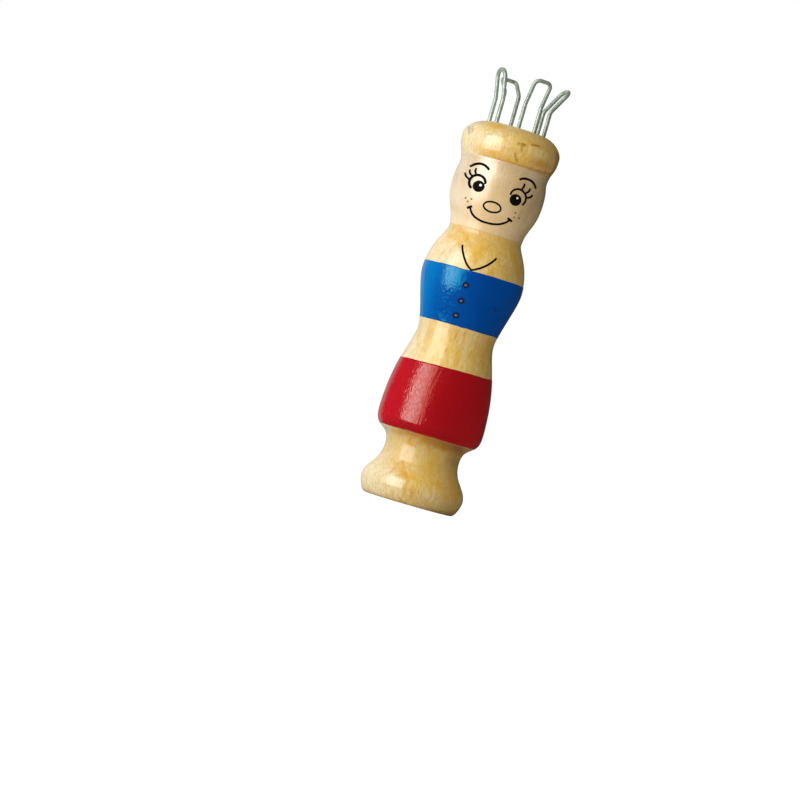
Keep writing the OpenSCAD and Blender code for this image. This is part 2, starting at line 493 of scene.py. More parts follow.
def makeWoodFigureAndSideLight(look):
    shader, place, result = startGroup(
        "woodFigureAndSideLight", ["Rings", "Flecks", "Fibre", "Cloud", "Patches", "PaintedLightLeft", "PaintedShadeRight"])
    growth = look["rings"]
    inputs = {
        "Vector": shader.stretched(place, growth["stretch"], growth["lean"], growth["shift"]),
        "Scale": math.tau / growth["phase"] / growth["gap"], "Distortion": growth["wander"],
        "Detail": growth["detail"], "Detail Scale": growth["detailScale"],
    }
    wave = shader.add(
        "ShaderNodeTexWave", inputs, wave_type="RINGS", rings_direction="Z", wave_profile="SAW")
    flecks = shader.grainNoise(place, look["flecks"])
    fibre = shader.grainNoise(place, look["fibre"])
    cloud = shader.grainNoise(place, look["cloud"])
    patches = shader.grainNoise(place, look["patches"])
    spot = shader.add("ShaderNodeSeparateXYZ", {0: place}).outputs
    wander = shader.math("MULTIPLY", shader.math("SUBTRACT", cloud, 0.5), look["paintedSideWander"])
    across = shader.math("ADD", spot["X"], wander)
    shader.fill(result, {
        "Rings": wave.outputs["Fac"],
        "Flecks": shader.between(flecks, *look["fleckEdge"]),
        "Fibre": fibre,
        "Cloud": shader.between(cloud, *look["cloudEdge"]),
        "Patches": shader.between(patches, *look["patchEdge"]),
        "PaintedLightLeft": shader.between(across, *look["paintedLightEdge"]),
        "PaintedShadeRight": shader.between(across, *look["paintedShadeEdge"]),
    })
    return shader.tree


lacquerWear = {
    "peel": {"size": 1.2 * mm, "detail": 1.5},
    "pores": {"size": 0.42 * mm, "stretch": (1, 1, 0.5), "detail": 1.0},
    "scuffs": {"size": 2.8 * mm, "stretch": (0.5, 0.5, 1.4), "detail": 5.0, "roughness": 0.65},
    "scuffEdge": (0.52, 0.75),
}


def makeLacquerWear(look):
    shader, place, result = startGroup("lacquerWear", ["Peel", "Pores", "Scuffs"])
    scuffs = shader.grainNoise(place, look["scuffs"])
    shader.fill(result, {
        "Peel": shader.grainNoise(place, look["peel"]),
        "Pores": shader.grainNoise(place, look["pores"]),
        "Scuffs": shader.between(scuffs, *look["scuffEdge"]),
    })
    return shader.tree


figureTree = makeWoodFigureAndSideLight(woodFigureAndSideLight)
wearTree = makeLacquerWear(lacquerWear)

bareWoodLook = {
    "honey": (0.93, 0.77, 0.44),
    "warm": (0.91, 0.65, 0.21),
    "tints": {  # laid over those in turn: a colour, and how much of it shows where the mask is full
        "Patches": ((0.89, 0.52, 0.03), 0.86),
        # painted light: paler on the doll's left; painted shade: darker on its right
        "PaintedLightLeft": ((0.91, 0.81, 0.60), 0.85),
        "PaintedShadeRight": ((0.65, 0.445, 0.17), 0.55),
        "Rings": ((0.78, 0.48, 0.10), 0.25),
    },
    "fibre": {"edge": (0.32, 0.68), "pale": (1.02, 1.03, 1.09), "dark": (0.95, 0.89, 0.70)},
    "mottle": {"edge": (0.35, 0.65), "pale": (1.02, 1.025, 1.07), "dark": (0.96, 0.93, 0.80)},
    "fleck": ((0.40, 0.20, 0.04), 0.35),
    # painted shade in the coves, where varnish also gathers
    "coveVarnishAndShade": ((0.58, 0.38, 0.10), 0.48),
    # amber marks are grain, and painted shade under the skirt's hem and along the hat's right edge
    "amberAndShade": (0.78, 0.39, 0.015),
    "amberLeast": 0.6,  # what an amber mark keeps between the patches
    # the knot colour is also painted shade under the skirt, under the hat's lower edge and along its right
    # side
    "knot": (0.40, 0.12, 0.002),
    # stains round the wires and scuffs, and painted shade under the skirt
    "stainAndShade": ((0.20, 0.13, 0.08), 0.6),
    "roughness": (0.42, 0.52),
    "fleckRoughness": 0.12,
    "coat": (0.53, 0.66),
    "coatEdge": (0.35, 0.65),
    "scuffedCoat": 0.5,
    "coveCoat": 0.8,  # polish doesn't reach into the coves
    "coatRoughness": 0.14,
    "coatIor": 2.4,
    "grainBump": (0.02 * mm, 0.5),  # depth and strength
    "peelBump": (0.06 * mm, 0.35),
}


def makeBareWood(look):
    material, shader, surface, place = startMaterial("varnishedWood")
    figure = placeGroup(shader, figureTree, place)
    wear = placeGroup(shader, wearTree, place)
    marks = {}
    for name in ("poolAndShade", "stainAndShade", "amberAndShade", "knot"):
        marks[name] = shader.add("ShaderNodeAttribute", attribute_name=name).outputs["Fac"]
    colour = shader.blend(figure["Cloud"], look["honey"], look["warm"])
    for mask, (tint, share) in look["tints"].items():
        colour = shader.tinted(colour, figure[mask], tint, share)
    for streaks, tone in ((figure["Fibre"], look["fibre"]), (wear["Pores"], look["mottle"])):
        streaked = shader.blend(shader.between(streaks, *tone["edge"]), tone["pale"], tone["dark"])
        colour = shader.blend(1.0, colour, streaked, "MULTIPLY")
    colour = shader.tinted(colour, figure["Flecks"], *look["fleck"])
    # painted shade: the coves are darker
    colour = shader.tinted(colour, marks["poolAndShade"], *look["coveVarnishAndShade"])
    # amber, knot and stain marks: grain, stains and scuffs, and painted shade under the skirt and at the
    # hat's edges
    patchy = shader.ranged(figure["Patches"], look["amberLeast"], 1.0)
    colour = shader.blend(shader.math("MULTIPLY", marks["amberAndShade"], patchy), colour, look["amberAndShade"])
    colour = shader.blend(marks["knot"], colour, look["knot"])
    colour = shader.tinted(colour, marks["stainAndShade"], *look["stainAndShade"])
    scuffed = shader.ranged(wear["Scuffs"], *look["roughness"])
    flecked = shader.math("MULTIPLY", figure["Flecks"], look["fleckRoughness"])
    gloss = shader.ranged(shader.between(figure["Fibre"], *look["coatEdge"]), *look["coat"])
    gloss = shader.math("MULTIPLY", gloss, shader.ranged(wear["Scuffs"], 1.0, look["scuffedCoat"]))
    gloss = shader.math("MULTIPLY", gloss, shader.ranged(marks["poolAndShade"], 1.0, look["coveCoat"]))
    grain = shader.math("SUBTRACT", figure["Fibre"], figure["Flecks"])
    peeled = shader.bump(wear["Peel"], *look["peelBump"], shader.bump(grain, *look["grainBump"]))
    shader.fill(surface, {
        "Base Color": colour, "Roughness": shader.math("ADD", scuffed, flecked),
        "Coat Weight": gloss, "Coat Roughness": look["coatRoughness"], "Coat IOR": look["coatIor"],
        "Normal": peeled, "Coat Normal": peeled,
    })
    return material


# lacquer over the wood: the grain shows faintly through it and in its gloss; it is painted paler on the
# doll's left as painted light, and darker on its right as painted shade
lacquer = {
    "paintLightShare": 0.8,
    "shadeShare": 0.7,
    "grainTone": (0.7, 1.25),
    "coatEdge": (0.36, 0.64),
    "grainBump": (0.08 * mm, 0.5),  # depth and strength
    "poreStrength": 0.5,
    "peelStrength": 0.6,
}
# coatWear goes along an axis: where the gloss is dull, where it is whole, and what is left where it is dull
# pale is painted light on the doll's left, shade is painted shade on its right
paintLooks = {
    "red": {
        "name": "redLacquer",
        "colour": (0.43, 0.005, 0.011), "deep": (0.39, 0.004, 0.009),
        "pale": (0.60, 0.004, 0.017), "paintLightEdge": (-4 * mm, -14 * mm), "shade": (0.58, 0.011, 0.015),
        "grain": 0.2, "blotch": 0.2, "roughness": (0.1, 0.2), "ior": 1.8, "gleam": (1.0, 0.35, 0.2),
        "coat": (0.34, 0.74), "coatRoughness": 0.1, "coatIor": 2.4,
        "coatWear": [("X", -2.4 * mm, -6.5 * mm, 0.2)],
        "poreDepth": 0.12 * mm, "peelDepth": 0.1 * mm,
    },
    "blue": {
        "name": "blueLacquer",
        "colour": (0.003, 0.07, 0.365), "deep": (0.0005, 0.056, 0.325),
        "pale": (0.0005, 0.23, 0.62), "paintLightEdge": (-5 * mm, -13 * mm), "shade": (0.0015, 0.094, 0.455),
        "grain": 0.2, "blotch": 0.2, "roughness": (0.12, 0.24), "ior": 2.1, "gleam": (0.0, 0.9, 1.0),
        "coat": (0.14, 0.36), "coatRoughness": 0.08, "coatIor": 2.4,
        "coatWear": [("X", -3.2 * mm, -6.3 * mm, 0.15), ("Z", 56.5 * mm, 60 * mm, 0.1)],
        "poreDepth": 0.1 * mm, "peelDepth": 0.1 * mm,
    },
    "face": {
        "name": "peachLacquer",
        "colour": (0.92, 0.67, 0.40), "deep": (0.82, 0.56, 0.25),
        "pale": (0.82, 0.70, 0.525), "paintLightEdge": (-3 * mm, -11 * mm), "shade": (0.34, 0.22, 0.065),
        "grain": 0.45, "blotch": 0.62, "roughness": (0.42, 0.5), "ior": 1.3, "gleam": (1.0, 1.0, 1.0),
        "coat": (0.8, 1.0), "coatRoughness": 0.25, "coatIor": 3.2,
        "coatWear": [("Z", 82 * mm, 91 * mm, 0.35)],
        "poreDepth": 0.05 * mm, "peelDepth": 0.07 * mm,
    },
}


def makePaint(look):
    material, shader, surface, place = startMaterial(look["name"])
    figure = placeGroup(shader, figureTree, place)
    wear = placeGroup(shader, wearTree, place)
    spot = shader.add("ShaderNodeSeparateXYZ", {0: place}).outputs
    tone = shader.blend(figure["Cloud"], look["colour"], look["deep"])
    # painted light on the doll's left, painted shade on its right
    paintedLight = shader.between(spot["X"], *look["paintLightEdge"])
    tone = shader.tinted(tone, paintedLight, look["pale"], lacquer["paintLightShare"])
    tone = shader.tinted(tone, figure["PaintedShadeRight"], look["shade"], lacquer["shadeShare"])
    grainTone = shader.ranged(figure["Fibre"], *lacquer["grainTone"])
    tone = shader.blend(look["grain"], tone, grainTone, "MULTIPLY")
    tone = shader.tinted(tone, figure["Patches"], look["deep"], look["blotch"])
    gloss = shader.ranged(shader.between(wear["Pores"], *lacquer["coatEdge"]), *look["coat"])
    for axis, dullAt, wholeAt, least in look["coatWear"]:
        whole = shader.between(spot[axis], dullAt, wholeAt)
        gloss = shader.math("MULTIPLY", gloss, shader.ranged(whole, least, 1.0))
    grain = shader.bump(figure["Fibre"], *lacquer["grainBump"])
    pitted = shader.bump(wear["Pores"], look["poreDepth"], lacquer["poreStrength"], grain)
    peeled = shader.bump(wear["Peel"], look["peelDepth"], lacquer["peelStrength"], pitted)
    shader.fill(surface, {
        "Base Color": tone, "Roughness": shader.ranged(wear["Scuffs"], *look["roughness"]),
        "IOR": look["ior"], "Specular Tint": look["gleam"],
        "Coat Weight": gloss, "Coat Roughness": look["coatRoughness"], "Coat IOR": look["coatIor"],
        "Normal": peeled, "Coat Normal": peeled,
    })
    return material


inkFlow = {
    "pattern": {"size": 0.9 * mm, "detail": 2.0},
    "thinEdge": (0.45, 0.8),
    "roughness": (0.5, 0.65),
    "bump": (0.02 * mm, 0.3),  # depth and strength
}
inkLooks = {
    "ink": {
        "name": "blackInk", "shine": 0.04,
        "colour": (0.005, 0.004, 0.003), "thin": (0.013, 0.009, 0.005),
    },
    "freckle": {
        "name": "brownInk", "shine": 0.2,
        "colour": (0.26, 0.15, 0.07), "thin": (0.38, 0.24, 0.13),
    },
    "glint": {
        "name": "whiteDab", "shine": 0.5,
        "colour": (0.86, 0.86, 0.84), "thin": (0.78, 0.77, 0.74),
    },
    "blueInk": {
        "name": "navyInk", "shine": 0.2,
        "colour": (0.006, 0.011, 0.024), "thin": (0.012, 0.024, 0.05),
    },
    "button": {
        "name": "greyDab", "shine": 0.3,
        "colour": (0.12, 0.125, 0.14), "thin": (0.2, 0.19, 0.19),
    },
}


def makeInk(look):
    material, shader, surface, place = startMaterial(look["name"])
    flow = shader.grainNoise(place, inkFlow["pattern"])
    colour = shader.blend(shader.between(flow, *inkFlow["thinEdge"]), look["colour"], look["thin"])
    shader.fill(surface, {
        "Base Color": colour, "Roughness": shader.ranged(flow, *inkFlow["roughness"]),
        "Specular IOR Level": look["shine"], "Normal": shader.bump(flow, *inkFlow["bump"]),
    })
    return material


wireLook = {
    "bright": (0.72, 0.81, 0.70),
    "dull": (0.49, 0.57, 0.47),
    "spot": ((0.2, 0.23, 0.16), 0.6),  # colour and strength
    "spangle": {"size": 1.6 * mm, "detail": 3.0, "roughness": 0.6},
    "spangleEdge": (0.3, 0.7),
    "drawn": {"size": 0.3 * mm, "stretch": (1, 1, 0.05), "detail": 2.0},
    "spots": {"size": 0.7 * mm, "detail": 2.0},
    "spotEdge": (0.64, 0.74),
    "metallic": 0.6,
    "roughness": (0.24, 0.4),
    "drawnBump": (0.006 * mm, 0.15),  # depth and strength
    "spangleBump": (0.02 * mm, 0.2),
}


def makeZincWire(look):
    material, shader, surface, place = startMaterial("zincWire")
    spangle = shader.grainNoise(place, look["spangle"])
    drawn = shader.grainNoise(place, look["drawn"])
    spots = shader.between(shader.grainNoise(place, look["spots"]), *look["spotEdge"])
    colour = shader.blend(shader.between(spangle, *look["spangleEdge"]), look["bright"], look["dull"])
    scratched = shader.bump(drawn, *look["drawnBump"])
    shader.fill(surface, {
        "Base Color": shader.tinted(colour, spots, *look["spot"]), "Metallic": look["metallic"],
        "Roughness": shader.ranged(spangle, *look["roughness"]),
        "Normal": shader.bump(spangle, *look["spangleBump"], scratched),
    })
    return material


finishes = {"wood": makeBareWood(bareWoodLook)}
for name, look in paintLooks.items():
    finishes[name] = makePaint(look)
for name, look in inkLooks.items():
    finishes[name] = makeInk(look)
finishes["wire"] = makeZincWire(wireLook)
print("finishes:", ", ".join(finishes))


# wooden body: the frame's outline turned smooth, with its bore and the driven wires' dents
bodyLook = {
    "mouthEase": 0.45,  # how far the bore's mouth is sanded round beyond its chamfer
    "mouthPull": (0.2, 0.5),  # how full that round is, inwards and downwards
    "mouthRows": 9,
    "wallRows": 24,
    "skinStart": 1.0,  # how far outside the bore's wall the skin begins
    "legTips": 0.1,  # how much of a wire's lower end shows where its leg is
    "dentDepth": 0.12,
    "dentReach": 1.1,
    "dentBand": 3.0,  # dents stay this near the crown's top
    "dentStart": 0.5,  # and this far from the bore's wall
    "poolShadeDepth": 2.2,
    "poolShadeSpan": 9.0,
    "poolShadeSteps": 400,
    "poolShadeSamples": 19,
    "poolShadeEnds": 5.0,  # the ends of the body don't count as its surroundings
    "poolShadeTop": 0.5,
    "markFade": 4.0,
    "markSway": 0.45,
    "swayShare": 0.35,  # of a mark's width, at most
    "swayScale": (1.3, 2.6),
}
bodyMap = {"skin": (0.0, 0.0, 0.78, 1.0), "lining": (0.8, 0.0, 1.0, 1.0)}

# grain that stands out on the doll's front, and painted shade under the skirt's hem and along the hat's
# right edge: places in millimetres across and up, then width and strength
amberAndShadeMarks = [
    # hat
    ([(-6.6, 96.6), (-5.2, 96.9)], 2.1, 0.85),
    ([(-3.8, 96.8), (-1.6, 96.9)], 2.1, 1.0),
    ([(-0.7, 96.5), (1.3, 96.6), (2.7, 96.4), (5.7, 96.3), (9.7, 96.5)], 1.6, 0.69),
    ([(-4.2, 104.2), (-2.5, 103), (-2.6, 101.4)], 1.4, 0.63),
    ([(-5.7, 104.4), (-0.2, 104.3), (3.7, 104), (7.7, 103.3), (10.2, 102.4)], 1.7, 0.15),
    ([(2.7, 103.3), (6.2, 102.6)], 1.4, 0.57),
    ([(7.2, 97.7), (9.2, 98.1), (10.7, 97.1)], 2.4, 0.69),
    # painted shade along the hat's right edge, with brown grain
    ([(11.5, 103), (12.4, 101), (12.7, 98.6), (12.4, 96.1)], 1.8, 0.7),
    ([(0.4, 101.6), (1.2, 99.6), (0.6, 98)], 2.6, 0.3),
    ([(-9.8, 97.5), (-7, 97.9)], 1.5, 0.35),
    ([(-6.6, 97.8), (-4.4, 98.1), (-2.2, 98.7), (2, 99.4)], 1.7, 0.7),
    ([(8, 102.4), (9.3, 102.2)], 1.5, 0.35),
    ([(1.4, 101.5), (3.6, 101.6)], 1.0, 0.65),
    ([(2.7, 101.3), (3, 99.6)], 0.9, 0.65),
    ([(1.4, 98.7), (1.9, 97.5), (2.6, 96.9)], 1.0, 0.8),
    ([(5.2, 102.3), (7.1, 102.5)], 1.0, 0.8),
    # chest
    ([(-6.9, 74.9), (-5.6, 74.3), (-4.4, 73.1), (-3.4, 72)], 1.6, 0.98),
    ([(-9.6, 72.9), (-6.3, 71.4)], 1.4, 0.4),
    ([(-1.7, 74.6), (0.8, 72.8), (2.3, 74.9), (3.3, 72.4)], 2.6, 0.69),
    ([(5.2, 75.1), (5.9, 73.3), (5.2, 72.2)], 1.7, 0.8),
    ([(3, 75.2), (3.3, 73), (6.4, 71.8)], 1.7, 0.6),
    ([(-7.5, 73.4), (-6.6, 71.8), (-5.4, 70.6)], 1.5, 0.6),
    ([(8.3, 74.8), (8.7, 73.1), (9.9, 70.9), (11.2, 68.4)], 1.7, 0.86),
    ([(-1.2, 70.2), (-1.1, 67.6)], 1.4, 0.69),
    ([(-8.6, 75.7), (-4.2, 75.6), (1.8, 75.9), (7.7, 75.7)], 1.3, 0.46),
    # waist
    ([(-7.5, 49.4), (-7.3, 45.7), (-7.4, 43.2)], 1.1, 0.46),
    ([(-9.7, 46.6), (-9.5, 42.7)], 0.8, 0.34),
    ([(-4.2, 48.9), (-3.4, 49)], 1.0, 0.69),
    ([(-0.1, 48.8), (-0.1, 46.1)], 0.7, 0.69),
    ([(2, 49), (2.1, 47.6)], 1.0, 1.0),
    ([(2.2, 47.1), (2.2, 44.2), (1.6, 42.9), (2, 40.7), (1.4, 39.1)], 1.0, 0.75),
    ([(-0.7, 43.7), (-1, 42)], 1.1, 0.52),
    ([(-0.8, 40.3), (0, 38.9)], 1.3, 0.57),
    ([(6.5, 45.7), (6.6, 40.7), (6.9, 39.2)], 1.2, 0.57),
    ([(8.3, 48.6), (8.7, 43.7), (9.3, 39.7)], 1.6, 0.69),
    # ankle: the bands just under the hem are amber grain and painted shade under the skirt
    ([(-9.1, 18.4), (-4.2, 18.7), (0.8, 18.4), (5.7, 18.2), (10.7, 18.4)], 1.4, 0.86),
    ([(3.7, 17.8), (6.7, 17.2), (9.7, 17.6)], 1.9, 0.92),
    ([(-4.5, 17.3), (-4.2, 16.2), (-3.6, 15.5)], 1.4, 0.98),
    ([(-0.6, 18.2), (0.8, 17.1), (1.7, 15.6)], 1.0, 0.86),
    ([(-8.2, 16.7), (-5.6, 16.3), (-2.4, 16.5)], 1.7, 0.35),
    ([(-4.3, 14.4), (-4.2, 11.6)], 0.6, 0.7),
    # foot
    ([(-4.6, 10.6), (-5.5, 9.6), (-6.3, 8.1), (-6.7, 7.1)], 0.8, 0.69),
    ([(-4.1, 10.3), (-3.5, 9.1), (-2.7, 7.7), (-2, 6.3), (-1.7, 4.1), (-1.7, 2.1)], 1.1, 0.98),
    ([(-4.4, 8.7), (-3.8, 7.5)], 1.3, 0.57),
    ([(0.4, 9.7), (1.1, 11.3)], 1.0, 0.57),
    ([(0.1, 4.3), (0.3, 3.5), (0.4, 1.9)], 0.6, 0.75),
    ([(-2.7, 10.4), (-0.2, 10.8), (0.6, 8.8)], 1.9, 0.5),
    ([(-5.6, 10.4), (-5.2, 7.2)], 1.2, 0.35),
    ([(3.4, 6.2), (5.4, 5.4), (7, 4)], 1.9, 0.35),
    ([(1.4, 2.1), (4.2, 1.8)], 1.5, 0.4),
    ([(2.7, 9.7), (4.7, 8.1), (7.3, 7.3)], 2.6, 0.4),
    ([(8.7, 11), (10.2, 8.6), (11.7, 6.1)], 1.9, 0.75),
    ([(8.3, 5.7), (9.5, 4.7)], 1.4, 0.4),
]
knotAndShadeMarks = [
    # hat
    ([(2.7, 101.6), (3.4, 101.5)], 0.55, 0.95),
    ([(1.6, 101.5), (2.2, 101.6)], 0.45, 0.65),
    ([(2.7, 101.3), (2.8, 100.6), (3, 99.8)], 0.4, 0.65),
    ([(1.4, 98.7), (1.9, 97.5), (2.6, 96.9)], 0.45, 0.75),
    ([(5.3, 102.3), (6.2, 102.5), (7, 102.5)], 0.5, 0.8),
    ([(7.2, 98), (10.8, 98.2)], 1.8, 0.28),
    # painted shade along the hat's right edge
    ([(13.2, 102.2), (13.6, 100.3), (13.5, 98.3), (12.9, 96.6)], 1.5, 0.6),
    # painted shadow under the hat's lower edge
    ([(-6.5, 96.05), (-3, 95.95)], 0.6, 0.28),
    ([(-2.6, 95.95), (4, 95.95), (9, 96.1), (12.4, 96.4)], 0.6, 0.5),
    ([(6, 96), (9.5, 96.1), (12.3, 96.4)], 0.8, 0.6),
    # waist
    ([(-0.1, 47.8), (-0.2, 46.4)], 0.4, 0.35),
    ([(2, 48.7), (2, 47.9)], 0.4, 0.4),
    ([(-3.6, 45.4), (-3.6, 45)], 0.4, 0.35),
    ([(-1.6, 43.1), (-1.7, 42.2)], 0.4, 0.45),
    # painted shade under the skirt
    ([(-6.4, 19.3), (-3.5, 19.2), (0, 18.9)], 2.4, 0.75),
    ([(-0.5, 18.9), (4, 18.8), (7, 18.6), (9.4, 18.4)], 3.0, 0.85),
    ([(9, 18.4), (11.6, 18.9)], 1.8, 0.5),
    ([(6.8, 18), (8.4, 16.4), (9.2, 14.4)], 2.8, 0.42),
    ([(9.8, 18.2), (10.4, 16.4), (10.6, 14.4)], 1.8, 0.22),
    # ankle and foot
    ([(-4.1, 17.6), (-4.3, 16.9)], 0.45, 0.4),
    ([(0, 17.9), (0.8, 17.1), (1.6, 15.8)], 0.4, 0.3),
    ([(-3.8, 14.2), (-3.8, 13.4)], 0.4, 0.35),
    ([(-4.6, 10.9), (-4.4, 10.5)], 0.5, 0.45),
    ([(0.3, 3.5), (0.4, 2.3)], 0.4, 0.3),
]
scuffAndShadeMarks = [
    # hat
    ([(-12.4, 102.5), (-11.9, 101.1)], 0.5, 1.0),
    ([(-11.6, 102.9), (-11.2, 101.7)], 0.45, 0.75),
    ([(-7.2, 101.6), (-6.7, 101.8), (-5.9, 101.9)], 0.45, 0.7),
    # painted shade under the skirt
    ([(3.5, 19), (6.5, 18.8), (9, 18.4)], 3.2, 0.45),
]


def findLegs():
    # middle of each leg, from the wire ends that stand in the wood
    legs = []
    for name, node in frame["nodes"].items():
        if not name.endswith("_loop"):
            continue
        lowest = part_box(name)[0].z
        reach = lowest + bodyLook["legTips"] * mm
        tips = [vertex.co.xy for vertex in node.data.vertices if vertex.co.z < reach]
        middle = sum(tips, Vector((0, 0))) / len(tips)
        rim = Vector((-middle.y, middle.x))
        for side in (-1, 1):
            leg = [tip for tip in tips if (tip - middle).dot(rim) * side > 0]
            legs.append(sum(leg, Vector((0, 0))) / len(leg))
    return legs


def poolShadeTable():
    # varnish gathers, and painted shade darkens the wood, where the outline lies deeper than its
    # surroundings
    heights = np.linspace(0, bodyHeight, bodyLook["poolShadeSteps"])
    spread = np.linspace(-bodyLook["poolShadeSpan"], bodyLook["poolShadeSpan"], bodyLook["poolShadeSamples"])
    lowest, highest = bodyLook["poolShadeEnds"], bodyHeight - bodyLook["poolShadeEnds"]
    around = np.clip(heights[:, None] + spread[None, :], lowest, highest)
    surroundings = np.interp(around, fineHeights, fineRadii).mean(axis=1)
    deeper = surroundings - np.interp(heights, fineHeights, fineRadii)
    return heights, np.clip(deeper / bodyLook["poolShadeDepth"], 0, 1)


def markStrengths(spots, marks):
    # the strongest mark at each place on the front, with a wavering edge, fading out over its width
    wide, tall = bodyLook["swayScale"]
    pushes = [noise.noise_vector((across / wide, 0, up / tall)) for across, up in spots]
    sway = np.array([(push.x, push.z) for push in pushes])
    strongest = np.zeros(len(spots))
    for points, width, strength in marks:
        places = spots + sway * min(bodyLook["markSway"], bodyLook["swayShare"] * width)
        for start, end in zip(points, points[1:]):
            start, run = np.array(start), np.subtract(end, start)
            share = np.clip((places - start) @ run / (run @ run), 0, 1)
            gap = np.linalg.norm(places - start - share[:, None] * run, axis=1) / width
            strongest = np.maximum(strongest, strength * np.clip(1 - gap * gap, 0, 1) ** 2)
    return strongest


def easeInOut(share):
    return share * share * (3 - 2 * share)


def turnBody():
    top = bodyHeight
    easedMouth = mouthRadius + bodyLook["mouthEase"]
    easedDepth = (mouthRadius - boreRadius) + bodyLook["mouthEase"]
    wallTop = top - easedDepth
    line = [Vector((easedMouth, 0))] + outerRings + [Vector((easedMouth, top))]
    skin = smoothLine(line, lathe["rowGap"])
    skin = [Vector((point.x, min(max(point.y, 0.0), top))) for point in skin]  # level foot and crown
    inwards, downwards = bodyLook["mouthPull"]
    upperMouth = interpolate_bezier(
        Vector((easedMouth, top)), Vector((mouthRadius - inwards, top)),
        Vector((boreRadius, top - downwards)), Vector((boreRadius, wallTop)), bodyLook["mouthRows"])[1:]
    lowerMouth = [Vector((point.x, top - point.y)) for point in reversed(upperMouth)]
    rows = bodyLook["wallRows"]
    wall = [Vector((boreRadius, wallTop + (easedDepth - wallTop) * i / rows)) for i in range(1, rows)]
    return turnShape(skin, upperMouth + wall + lowerMouth, lathe["bodySteps"])


def dentAndPoolShade(bm, layers, legs):
    poolShadeHeights, poolShadeShares = poolShadeTable()
    for vert in bm.verts:
        radius, height = vert.co.xy.length / mm, vert.co.z / mm
        if radius > boreRadius + bodyLook["skinStart"] and height < bodyHeight - bodyLook["poolShadeTop"]:
            # painted shade, and gathered varnish, in the coves
            vert[layers["poolAndShade"]] = float(np.interp(height, poolShadeHeights, poolShadeShares))
        if height > bodyHeight - bodyLook["dentBand"] and radius > boreRadius + bodyLook["dentStart"]:
            gap = min((vert.co.xy - leg).length for leg in legs) / mm
            near = max(0.0, 1 - gap / bodyLook["dentReach"])
            vert.co.z -= bodyLook["dentDepth"] * mm * easeInOut(near)
            vert[layers["stainAndShade"]] = near


def markFront(bm, layers):
    fade = bodyLook["markFade"] * mm
    skinRadius = (boreRadius + bodyLook["skinStart"]) * mm
    front = [vert for vert in bm.verts if vert.co.y < fade and vert.co.xy.length > skinRadius]
    spots = np.array([(vert.co.x, vert.co.z) for vert in front]) / mm
    facing = easeInOut(np.clip([(fade - vert.co.y) / (2 * fade) for vert in front], 0, 1))
    # these marks also carry painted shade under the skirt and at the hat's edges
    for layer, marks in (("amberAndShade", amberAndShadeMarks), ("knot", knotAndShadeMarks), ("stainAndShade", scuffAndShadeMarks)):
        for vert, strength in zip(front, markStrengths(spots, marks) * facing):
            vert[layers[layer]] = max(vert[layers[layer]], strength)


def makeBody():
    bm = turnBody()
    layers = {name: bm.verts.layers.float.new(name) for name in ("poolAndShade", "stainAndShade", "amberAndShade", "knot")}
    legs = findLegs()
    dentAndPoolShade(bm, layers, legs)
    markFront(bm, layers)
    unwrapTurned(bm, bodyMap)
    body = finishPiece("turned_body", bm, finishes["wood"])
    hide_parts("wooden_body")
    print("body:", len(body.data.polygons), "faces,", len(legs), "wire legs")


makeBody()


# paint: thin coats round the body, with edges that waver a little
coat = {
    "thick": 0.06,
    "sunk": 0.05,
    "lip": 0.12,
    "rowGap": 0.5,
    "slowWaver": 2.0,
    "quickWaver": 7.0,
    "quickShare": 0.5,
    "seedStep": 5,  # from the lower edge's seed to the upper edge's
}
paintBands = {
    "red_skirt": {
        "low": 19.1, "high": 38.4, "tilt": 0.3, "waver": 0.12, "seed": 3,
        "finish": "red", "slot": "red_paint",
    },
    "blue_bodice": {
        "low": 49.8, "high": 65.2, "tilt": 0.05, "waver": 0.12, "seed": 11,
        "finish": "blue", "slot": "blue_paint",
    },
    "peach_face": {
        "low": 76.2, "high": 95.8, "tilt": 0.0, "waver": 0.2, "seed": 23,
        "finish": "face", "slot": "face_paint",
    },
}
bandMap = {"skin": (0.0, 0.05, 1.0, 1.0), "lining": (0.0, 0.0, 1.0, 0.03)}


def waver(turn, seed, size):
    spot = Vector((math.cos(turn), math.sin(turn), seed))
    quick = coat["quickShare"] * noise.noise(spot * coat["quickWaver"])
    return size * (noise.noise(spot * coat["slowWaver"]) + quick)


def paintBand(name, band):
    low, high = band["low"], band["high"]
    count = math.ceil((high - low) / coat["rowGap"])
    heights = [low + (high - low) * i / count for i in range(count + 1)]
    inner = [low + coat["lip"]] + heights[1:-1] + [high - coat["lip"]]
    skin = [Vector((radiusAt(z) + coat["thick"], z)) for z in inner]
    edgeLow = Vector((radiusAt(low) - coat["sunk"], low))
    edgeHigh = Vector((radiusAt(high) - coat["sunk"], high))
    lining = [Vector((radiusAt(z) - coat["sunk"], z)) for z in reversed(heights[1:-1])]
    bm = turnShape([edgeLow] + skin + [edgeHigh], lining, lathe["steps"])
    for vert in bm.verts:
        radius, height = vert.co.xy.length / mm, vert.co.z / mm
        turn = math.atan2(vert.co.x, -vert.co.y)
        lift = radius - radiusAt(height)
        share = (height - low) / (high - low)
        slant = band["tilt"] * math.sin(turn)
        moved = height
        moved += (1 - share) * waver(turn, band["seed"], band["waver"])
        moved += share * (slant + waver(turn, band["seed"] + coat["seedStep"], band["waver"]))
        vert.co.xy *= (radiusAt(moved) + lift) / radius
        vert.co.z = moved * mm
    unwrapTurned(bm, bandMap)
    finishPiece(name, bm, finishes[band["finish"]])


for name, band in paintBands.items():
    paintBand(name, band)
print("paint:", ", ".join(paintBands))


